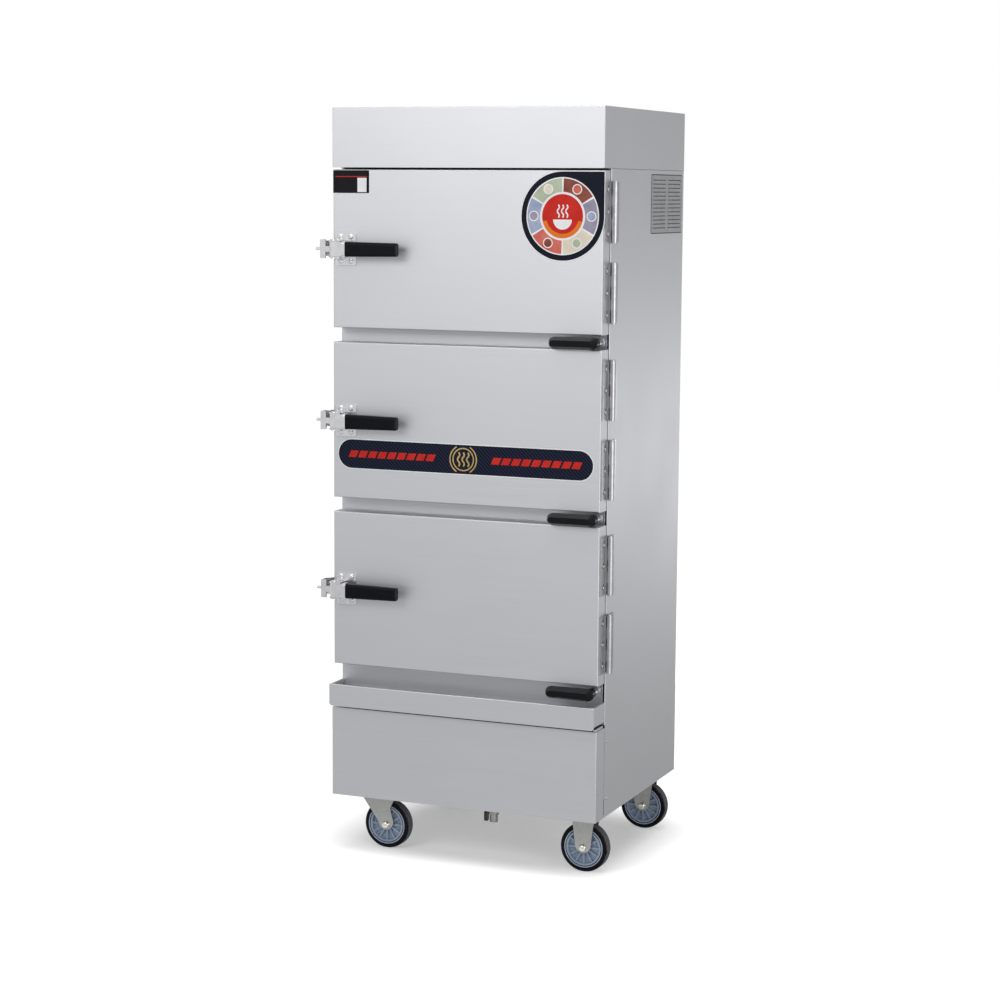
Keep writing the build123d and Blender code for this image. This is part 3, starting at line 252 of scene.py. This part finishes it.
def cast_metal(name, first, second, rough):
    """Sand-cast and machined valve metal: warm or grey, faintly pitted and dulled by handling."""
    finish, shader, at = surface(name, {"Metallic": 1.0})
    dress(finish, shader, pattern(finish, at, 80.0, detail=4.0), first, second,
          pattern(finish, at, 150.0, rough - 0.06, rough + 0.08, 3.0),
          pattern(finish, at, 900.0), 0.00004)
    return finish


def vinyl(name, first, second, share_of):
    """Printed self-adhesive vinyl under a clear film: low gloss and faint orange peel."""
    finish, shader, at = surface(name, {"IOR": 1.5, "Specular IOR Level": 0.1})
    dress(finish, shader, share_of(finish, at), first, second,
          pattern(finish, at, 25.0, 0.40, 0.48), pattern(finish, at, 500.0), 0.00001)
    return finish


def even_ink(finish, at):
    """Ink that is nearly one colour."""
    return pattern(finish, at, 40.0)


def pinstripes(finish, at):
    """Diagonal hairlines 7 mm apart."""
    slanted = add(finish, "Mapping", {"Rotation": (0, QUARTER / 2, 0)}, {"Vector": at})
    # One band of the wave is 2 pi / 20 of its unit, so 7 mm needs a scale of 45.
    lines = add(finish, "TexWave", {"Scale": 45.0, "bands_direction": "X"},
                {"Vector": slanted.outputs[0]})
    return add(finish, "MapRange", {"From Min": 0.6, "From Max": 0.9},
               {"Value": lines.outputs["Fac"]}).outputs[0]


def printed_vinyl(name, first, second):
    """Vinyl printed in one colour."""
    return vinyl(name, first, second, even_ink)


flat_sheet = line_grained_stainless("line_grained_stainless", "X")
upright_sheet = line_grained_stainless("upright_grained_stainless", "Z")
inner_sheet = mill_stainless()
bright_steel = buffed_steel("buffed_steel", "#d0d0d2", "#dddddf", 0.2, 0.28)
# The hinges get a darker copy of the buffed steel, painted shade that tones down the edge softbox's
# highlight on them. It is rougher too.
shaded_hinge_steel = buffed_steel("tumbled_steel_painted_darker", "#a5a5a7", "#b0b0b2", 0.28, 0.36)
cap_chrome = buffed_steel("nickel_plated_cap", "#d9d6cc", "#e4e1d8", 0.12, 0.20)
plated_steel = zinc_plate()
grip_plastic = moulded("dipped_vinyl_grip", "#07080c", "#0c0e13", 0.34, 500.0, 0.00004, gleam=0.1)
handle_plastic = moulded("pressed_phenolic", "#07080b", "#0b0c10", 0.22, 300.0, 0.00002, gleam=0.16)
door_gasket = moulded("silicone_rubber", "#35363a", "#3e3f43", 0.6, 300.0, 0.0001, sheen=0.1)
hub_plastic = moulded("moulded_polypropylene", "#8797ad", "#9aaabf", 0.34, 600.0, 0.00005)
lever_plastic = moulded("dipped_vinyl_lever", "#1d0c0d", "#2a1112", 0.35, 500.0, 0.00006)
fitting_plastic = moulded("moulded_nylon", "#4c4e51", "#5a5c5f", 0.45, 600.0, 0.00005)
ring_plastic = moulded("pale_polypropylene_ring", "#a3b0c6", "#b3c0d4", 0.3, 600.0, 0.00003)
# Near black, for the strips that paint shade into the body's gaps.
black_gap_shade = moulded("black_painted_gap_shade", "#050506", "#08080a", 0.7, 300.0, 0.0001, gleam=0.1)
tread_rubber = tyre_rubber()
foam = foamed_polyurethane()
valve_brass = cast_metal("cast_brass", "#a98a4e", "#bd9f60", 0.34)
plated_brass = cast_metal("nickel_plated_brass", "#8f8f8d", "#a2a19e", 0.32)

FINISHES = {
    "stainless": flat_sheet,
    "stainless_inner": inner_sheet,
    "polished_steel": bright_steel,
    "zinc_plate": plated_steel,
    "black_grip": grip_plastic,
    "black_handle": handle_plastic,
    "gasket": door_gasket,
    "tyre_rubber": tread_rubber,
    "hub_plastic": hub_plastic,
    "foam": foam,
    "brass": valve_brass,
    "red_plastic": lever_plastic,
    "grey_plastic": fitting_plastic,
}
UPRIGHT_GRAIN = ("side_panel_left", "side_panel_right", "back_panel")

for name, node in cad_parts.items():
    for seat in node.material_slots:
        seat.material = FINISHES[seat.material.name.split(".")[0]]
        if name in UPRIGHT_GRAIN:
            seat.material = upright_sheet
        # Hinges take the darker steel, painted shade.
        if "hinge" in name:
            seat.material = shaded_hinge_steel
        if name == "drain_valve":
            seat.material = plated_brass


# Prints

navy = printed_vinyl("navy_vinyl", "#0a0f1b", "#0d1322")
white = printed_vinyl("white_vinyl", "#e9e9ea", "#f1f1f2")
black = printed_vinyl("black_vinyl", "#101014", "#17171c")
red = printed_vinyl("red_vinyl", "#c22620", "#cd3128")
orange = printed_vinyl("orange_vinyl", "#dd7422", "#e67f2b")
gold = printed_vinyl("gold_vinyl", "#b79a5c", "#cdb377")
brown = printed_vinyl("russet_vinyl", "#7a4238", "#96584a")
sage = printed_vinyl("sage_vinyl", "#a9b39a", "#bec6b0")
slate = printed_vinyl("slate_vinyl", "#93a0bd", "#aab5cd")
coral = printed_vinyl("coral_vinyl", "#c95b4f", "#d8766a")
cream = printed_vinyl("cream_vinyl", "#d8cdb8", "#e5dccb")
plum = printed_vinyl("plum_vinyl", "#8d879c", "#a39db0")
plate_foil = printed_vinyl("silver_foil", "#a9aaac", "#b6b7b9")
plate_ink = printed_vinyl("grey_foil_ink", "#4c4d50", "#5b5c5f")
pinstripe = vinyl("pinstriped_vinyl", "#0b101f", "#242b42", pinstripes)

FILM = 0.15  # thickness of one printed film, mm
PLATE = 0.4  # thickness of the foil plate's dark sheet, mm


def rounded_plate(bm, width, height, radii=0, steps=24):
    """A flat outline about the origin, with one radius or its own at each corner, from lower
    left round."""
    made = bmesh.ops.create_grid(bm, x_segments=1, y_segments=1, size=0.5)["verts"]
    bmesh.ops.scale(bm, verts=made, vec=(width, height, 1))
    order = {(-1, -1): 0, (1, -1): 1, (1, 1): 2, (-1, 1): 3}
    each = radii if isinstance(radii, tuple) else (radii,) * 4
    ends = [(v, each[order[int(math.copysign(1, v.co.x)), int(math.copysign(1, v.co.y))]])
            for v in made]
    kept = set(bm.faces) - {f for v in made for f in v.link_faces}
    for corner, radius in ends:
        if radius:
            # Just short of the radius, so that two half rounds don't meet in one point.
            bmesh.ops.bevel(bm, geom=[corner], offset=radius * 0.999, segments=steps, profile=0.5,
                            affect="VERTICES", material=-1)
    return [f for f in bm.faces if f not in kept]


def disc(bm, radius, steps=72):
    """A flat round outline about the origin."""
    made = bmesh.ops.create_circle(bm, cap_ends=True, segments=steps, radius=radius)["verts"]
    return list({f for v in made for f in v.link_faces})


def swept_band(bm, inner, outer, start, sweep, centre=(0, 0), steps=16):
    """A flat band between two radii, turned about a centre from one angle through a sweep."""
    middle = Vector((*centre, 0))
    away = Matrix.Rotation(start, 3, "Z") @ Vector((1, 0, 0))
    ends = [bm.verts.new(middle + away * r) for r in (inner, outer)]
    edge = bm.edges.new(ends)
    before = set(bm.faces)
    bmesh.ops.spin(bm, geom=[edge, *ends], cent=middle, axis=(0, 0, 1), angle=sweep, steps=steps)
    return [f for f in bm.faces if f not in before]


def film(bm, faces, level, finish, thickness=FILM, move=(0, 0)):
    """Gives flat faces one film's thickness, with their back at a level."""
    flat = {v for f in faces for v in f.verts}
    grown = bmesh.ops.extrude_face_region(bm, geom=faces)["geom"]
    front = {v for v in grown if isinstance(v, bmesh.types.BMVert)}
    bmesh.ops.translate(bm, verts=list(front), vec=(0, 0, thickness))
    bmesh.ops.translate(bm, verts=list(flat | front), vec=(*move, level))
    for vert in flat | front:
        for face in vert.link_faces:
            face.material_index = finish


def steam_wisps(bm, foot, level, finish, height, width):
    """Three rising wavy lines side by side, each of three shallow arcs joined end to end."""
    arcs, half, apart = 3, math.radians(52), 0.36
    chord = height / arcs
    radius = chord / (2 * math.sin(half))
    for across in (-1, 0, 1):
        x = foot[0] + across * height * apart
        before = set(bm.faces)
        for index in range(arcs):
            side = 1 if index % 2 == 0 else -1
            centre = (x - side * radius * math.cos(half), foot[1] + chord * (index + 0.5))
            begin = -half if side == 1 else math.pi + half
            swept_band(bm, radius - width / 2, radius + width / 2, begin, side * 2 * half,
                       centre, 10)
        ends = {v for f in bm.faces if f not in before for v in f.verts}
        bmesh.ops.remove_doubles(bm, verts=list(ends), dist=NEAR)
        film(bm, [f for f in bm.faces if f not in before], level, finish)


def finished(name, bm, body, films, place):
    """Makes a mesh of a piece, puts it in its place and lets it ride on a CAD body."""
    metres = Matrix.Scale(0.001, 4)
    bmesh.ops.recalc_face_normals(bm, faces=bm.faces)
    bm.transform(Matrix.Translation(ROW_ZERO / 1000) @ metres @ place)
    mesh = mesh_of(name, bm)
    for each in films:
        mesh.materials.append(each)
    piece = put(name, mesh)
    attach(piece, body)
    return piece


def on_door(x, door, z):
    """Places a print on the front of a door, its back on the sheet."""
    front = corners(door + "_door_skin")[0].y
    return Matrix.Translation((x, front, z)) @ Matrix.Rotation(QUARTER, 4, "X")


def on_right_side(y, z):
    """Places a plate on the right side panel, its back on the sheet."""
    face = corners("side_panel_right")[1].x
    return (Matrix.Translation((face, y, z)) @ Matrix.Rotation(QUARTER, 4, "Z")
            @ Matrix.Rotation(QUARTER, 4, "X"))


def round_badge():
    """Badge in the upper door's corner: a ring of coloured fields round a steaming bowl."""
    across, up = 254, 1628.6
    films = [white, navy, white, brown, sage, slate, coral, cream, plum, red, orange]
    rim, ground, paper_white, first_field, heart, glow = 0, 1, 2, 3, 9, 10
    rim_size, rim_corner, ground_size, ground_corner, paper_radius = 216, 4, 212, 3, 93
    # The gap, in radians, is half the white line between two fields.
    fields, gap, field_inner, field_outer = 6, 0.028, 58, 90
    spot_out, spot_rim, spot_radius = 74, 12.5, 10
    heart_radius, glow_inner, bowl_radius, bowl_top = 52.5, 42, 24, -8
    bm = bmesh.new()
    for size, tight, level, finish in ((rim_size, rim_corner, 0, rim),
                                       (ground_size, ground_corner, FILM, ground)):
        wide = size / 2 - 0.1  # the rounds of two corners all but meet
        film(bm, rounded_plate(bm, size, size, (wide, wide, tight, wide)), level, finish)
    film(bm, disc(bm, paper_radius), FILM * 2, paper_white)
    turn = math.tau / fields
    for index in range(fields):
        start = index * turn + gap + math.pi / 6
        field = swept_band(bm, field_inner, field_outer, start, turn - 2 * gap)
        film(bm, field, FILM * 3, first_field + index)
        middle = start + turn / 2 - gap
        spot = (spot_out * math.cos(middle), spot_out * math.sin(middle))
        film(bm, disc(bm, spot_rim, 32), FILM * 4, paper_white, move=spot)
        opposite = first_field + (index + fields // 2) % fields
        film(bm, disc(bm, spot_radius, 32), FILM * 5, opposite, move=spot)
    film(bm, disc(bm, heart_radius), FILM * 3, heart)
    arc = swept_band(bm, glow_inner, heart_radius, math.pi * 1.08, math.pi * 0.84, steps=32)
    film(bm, arc, FILM * 4, glow)
    bowl = swept_band(bm, 0.5, bowl_radius, math.pi, math.pi, (0, bowl_top), 32)
    film(bm, bowl, FILM * 4, paper_white)
    steam_wisps(bm, (0, -3), FILM * 4, paper_white, height=30, width=3.4)
    return finished("upper_door_badge", bm, "upper_door", films, on_door(across, "upper", up))


def corner_label():
    """Bare black label in the upper door's left corner, with a red rule and a pale patch."""
    across, up = -308.5, 1708
    films = [black, red, white]
    ground, rule, patch = 0, 1, 2
    width, height = 99, 56
    rule_length, rule_width, rule_up = 86, 2.2, 12.5
    patch_width, patch_height, patch_middle = 25, 35, (30, -8)
    bm = bmesh.new()
    film(bm, rounded_plate(bm, width, height, 1.5, 4), 0, ground)
    film(bm, rounded_plate(bm, rule_length, rule_width), FILM, rule, move=(0, rule_up))
    film(bm, rounded_plate(bm, patch_width, patch_height, 1, 4), FILM, patch, move=patch_middle)
    return finished("upper_door_label", bm, "upper_door", films, on_door(across, "upper", up))


def door_stripe():
    """Long rounded stripe across the middle door: red dashes either side of a gold motif."""
    across, up = -2, 1030
    films = [white, pinstripe, red, gold]
    rim, ground, dash_red, motif = 0, 1, 2, 3
    long, high, border = 688, 77, 2.5
    dashes, dash_length, dash_width, nearest, pitch, slant = 9, 21, 17, 88, 26.5, 0.45
    ring_inner, ring_outer, bow_inner, bow_outer = 26, 29, 34, 37
    bm = bmesh.new()
    film(bm, rounded_plate(bm, long, high, high / 2), 0, rim)
    film(bm, rounded_plate(bm, long - 2 * border, high - 2 * border, high / 2 - border),
         FILM, ground)
    for side in (-1, 1):
        for index in range(dashes):
            film(bm, rounded_plate(bm, dash_length, dash_width), FILM * 2, dash_red,
                 move=(side * (nearest + pitch * index), 0))
    red_faces = [f for f in bm.faces if f.material_index == dash_red]
    bmesh.ops.transform(bm, verts=list({v for f in red_faces for v in f.verts}),
                        matrix=Matrix.Shear("XZ", 4, (slant, 0)))
    film(bm, swept_band(bm, ring_inner, ring_outer, 0, math.tau, steps=48), FILM * 2, motif)
    steam_wisps(bm, (0, -17), FILM * 2, motif, height=34, width=4)
    for middle in (-math.pi, 0):
        bow = swept_band(bm, bow_inner, bow_outer, middle - math.pi / 3, math.pi * 2 / 3, steps=24)
        film(bm, bow, FILM * 2, motif)
    return finished("middle_door_stripe", bm, "middle_door", films,
                    on_door(across, "middle", up))


def rating_plate():
    """Blank foil plate on the right side: a dark border and two columns of empty ruled lines."""
    back, up = 412, 1657.5
    films = [plate_foil, plate_ink]
    foil, ink = 0, 1
    width, height, border = 242, 149, 2.5
    rules, rule_length, rule_width, top, pitch, column = 13, 100, 2.4, 60, 10, 59
    bm = bmesh.new()
    film(bm, rounded_plate(bm, width, height, 4, 6), 0, ink, PLATE)
    film(bm, rounded_plate(bm, width - 2 * border, height - 2 * border, 3, 6), PLATE, foil)
    for row in range(rules):
        for across in (-column, column):
            film(bm, rounded_plate(bm, rule_length, rule_width), PLATE + FILM, ink,
                 move=(across, top - pitch * row))
    return finished("side_rating_plate", bm, "cabinet", films, on_right_side(back, up))


# Painted gap shade and wheel trim

def strip(name, low, high, finish, edge=0.8):
    """Long strip on the body between two corners, with round edges."""
    bm = bmesh.new()
    made = bmesh.ops.create_cube(bm, size=1)["verts"]
    bmesh.ops.scale(bm, verts=made, vec=Vector(high) - Vector(low))
    bmesh.ops.bevel(bm, geom=list(bm.edges), offset=edge, segments=3, profile=0.5,
                    affect="EDGES", material=-1)
    return finished(name, bm, "cabinet", [finish],
                    Matrix.Translation((Vector(low) + Vector(high)) / 2))


def body_strips():
    """Strips in the body's gaps: near-black strips over the upper door and at the doors' hinge side,
    painted shade where those gaps are dark, and steel between the drip tray and the side of the
    lower panel.

    They stay clear of the doors as they swing.
    """
    cap_low = corners("top_cap")[0]
    door_high = corners("upper_door_skin")[1]
    tray_low, tray_high = corners("drip_tray")
    panel_low, panel_high = corners("lower_front_panel")
    right = 357  # the body's right face is at 360
    # These two black strips are painted shade in the gap under the cap and the gap at the doors'
    # hinge side.
    strip("cap_seal", (-329, cap_low.y + 3, door_high.z + 1), (right, -14, cap_low.z),
          black_gap_shade)
    strip("hinge_side_gap_shade", (354.6, door_high.y + 0.4, tray_high.z + 1),
          (357.8, 0, cap_low.z - 5), black_gap_shade)
    strip("tray_ledge", (350, panel_low.y + 2, panel_high.z + 0.3),
          (right, -5, tray_low.z - 1.2), flat_sheet)


def turned(bm, outline, place, steps=64):
    """Adds a solid turned about Z from points of radius and height, from pole to pole or as a
    ring, and puts it in its place."""
    known = set(bm.verts)
    path = [bm.verts.new((radius, 0, height)) for radius, height in outline]
    pairs = list(zip(path, path[1:]))
    if outline[0][0] > 0:
        pairs.append((path[-1], path[0]))
    edges = [bm.edges.new(pair) for pair in pairs]
    bmesh.ops.spin(bm, geom=path + edges, cent=(0, 0, 0), axis=(0, 0, 1),
                   angle=math.tau, steps=steps, use_merge=True)
    bmesh.ops.remove_doubles(bm, verts=[v for v in bm.verts if v not in known], dist=NEAR)
    bmesh.ops.transform(bm, verts=[v for v in bm.verts if v not in known], matrix=place)


def round_the_axle(name, body, tyre, finish, outline, reach):
    """A turned piece on both sides of a wheel, so far out from its middle."""
    low, high = corners(tyre)
    bm = bmesh.new()
    for side in (-1, 1):
        outward = Matrix.Rotation(-side * QUARTER, 4, "X")
        turned(bm, outline, Matrix.Translation((0, side * reach, 0)) @ outward)
    for face in bm.faces:
        face.smooth = True
    return finished(name, bm, body, [finish], Matrix.Translation((low + high) / 2))


def wheel_trim():
    """Moulded ring on each tyre's walls, and a pressed dust cap over each axle's head and nut."""
    ring = [(48.2, -0.4), (48.2, 0.5), (48.8, 1.0), (50.2, 1.0), (50.8, 0.5), (50.8, -0.4)]
    dome = [(0, 8.0), (2.4, 7.9), (4.8, 7.5), (6.9, 6.8), (8.3, 5.8), (9.0, 4.6), (9.2, 1.0),
            (10.1, 0.8), (10.2, 0), (0, 0)]
    wall, fork = 16, 21  # from the wheel's middle to the tyre's wall and the fork's outside
    for row in ("front", "rear"):
        for side in ("left", "right"):
            corner = f"{row}_{side}"
            tyre = corner + "_tyre"
            holder = corner + "_caster" if side == "left" else "cabinet"
            round_the_axle(corner + "_tyre_ring", corner + "_wheel", tyre,
                           ring_plastic, ring, wall)
            round_the_axle(corner + "_axle_cap", holder, tyre,
                           cap_chrome, dome, fork)


round_badge()
corner_label()
door_stripe()
rating_plate()
body_strips()
wheel_trim()


# Studio

WHITE = (1, 1, 1, 1)

shape = bmesh.new()
bmesh.ops.create_grid(shape, x_segments=1, y_segments=1, size=60)
floor = put("floor", mesh_of("floor", shape))


MIRRORED = 0.75  # share of the paper's and the room's light that mirrored rays see


def seen_rays(finish):
    """One for camera and transmission rays, less for glossy rays, none for the rays that light."""
    rays = add(finish, "LightPath").outputs
    glossy = add(finish, "Math", {"operation": "MULTIPLY", 1: MIRRORED}, {0: rays["Is Glossy Ray"]})
    shown = add(finish, "Math", {"operation": "ADD"},
                {0: rays["Is Camera Ray"], 1: glossy.outputs[0]})
    return add(finish, "Math", {"operation": "ADD", "use_clamp": True},
               {0: shown.outputs[0], 1: rays["Is Transmission Ray"]}).outputs[0]


# The paper's own light is weak under the cabinet and stronger far off, where the lamps no longer
# reach, so that the paper is white to the horizon. The weak part under the cabinet is a painted
# shadow, added to the lamps' own. The distance counts from the middle of the ground that the cabinet
# covers. Each share of it is squared before the length is taken, which squares the painted shadow's
# corners.
GROUND_X, GROUND_Y = 0.36, 0.28  # half the covered ground, metres
GROUND_BACK = 0.11  # how far back its middle lies, in shares of GROUND_Y

paper = bare(bpy.data.materials.new("white_paper"))
share = add(paper, "Mapping",
            {"Scale": (1 / GROUND_X, 1 / GROUND_Y, 0), "Location": (0, -GROUND_BACK, 0)},
            {"Vector": add(paper, "TexCoord").outputs["Object"]}).outputs[0]
squared = add(paper, "VectorMath", {"operation": "MULTIPLY"}, {0: share, 1: share}).outputs[0]
away = add(paper, "VectorMath", {"operation": "LENGTH"}, {0: squared}).outputs["Value"]
lift_with_painted_shadow = add(paper, "MapRange",
           {"From Min": 0.7, "From Max": 2.0, "To Min": 0.30, "To Max": 0.82}, {"Value": away})
lift = add(paper, "Math", {"operation": "MULTIPLY"}, {0: seen_rays(paper), 1: lift_with_painted_shadow.outputs[0]})
base = add(paper, "BsdfDiffuse", {"Color": linear("#e6e6e6")})
own_light = add(paper, "Emission", {"Color": WHITE}, {"Strength": lift.outputs[0]})
both = add(paper, "AddShader", links={0: base.outputs[0], 1: own_light.outputs[0]})
add(paper, "OutputMaterial", links={"Surface": both.outputs[0]})
floor.data.materials.append(paper)

# The room gives a quarter of the light that it shows.
sky = bare(bpy.data.worlds.new("white_room"))
scene.world = sky
level = add(sky, "MapRange", {"To Min": 0.25, "To Max": 1.0}, {"Value": seen_rays(sky)})
room = add(sky, "Background", {"Color": WHITE}, {"Strength": level.outputs[0]})
add(sky, "OutputWorld", links={"Surface": room.outputs[0]})


def turned_to(stand, aim):
    """Turns a lamp or card at its stand to face its aim, in metres."""
    away = Vector(aim) - Vector(stand)
    return Matrix.Translation(stand) @ away.to_track_quat("-Z", "Y").to_matrix().to_4x4()


def softbox(name, stand, aim, width, height, watts):
    """A rectangular studio lamp."""
    lamp = bpy.data.lights.new(name, "AREA")
    lamp.shape = "RECTANGLE"
    lamp.size, lamp.size_y, lamp.energy = width, height, watts
    holder = put(name, lamp)
    holder.matrix_world = turned_to(stand, aim)
    holder.visible_camera = False


def grey_card(name, stand, aim, width, height, level):
    """A flat grey card that only mirrored rays see, to grade the steel's reflections."""
    dye = bare(bpy.data.materials.new(name))
    grey = add(dye, "Emission", {"Color": WHITE, "Strength": level})
    add(dye, "OutputMaterial", links={"Surface": grey.outputs[0]})
    sheet = bmesh.new()
    bmesh.ops.create_grid(sheet, x_segments=1, y_segments=1, size=0.5)
    bmesh.ops.scale(sheet, verts=sheet.verts, vec=(width, height, 1))
    sheet.transform(turned_to(stand, aim))
    card = put(name, mesh_of(name, sheet))
    card.data.materials.append(dye)
    card.visible_camera = card.visible_diffuse = card.visible_shadow = False
    card.visible_transmission = False


softbox("key_softbox", (-0.9, -4.2, 3.0), (0, 0, 1.3), 2.2, 1.4, 52)
softbox("edge_softbox", (4.4, -3.4, 1.25), (0, 0, 1.0), 3.0, 3.0, 80)
softbox("top_softbox", (0.4, -0.8, 4.6), (0, 0, 0.9), 2.5, 2.5, 70)
softbox("rim_softbox", (2.4, 6.0, 0.35), (0.36, 0.27, 0.7), 4.0, 0.9, 26)
grey_card("back_card", (2.7, 7.0, 2.5), (0.36, 0.27, 2.5), 9.0, 5.0, 0.44)
grey_card("side_floor_card", (2.0, 2.7, 0.003), (2.0, 2.7, 1.0), 3.2, 6.4, 0.45)
grey_card("front_floor_card", (-1.3, -3.2, 0.003), (-1.3, -3.2, 1.0), 5.0, 5.6, 0.68)
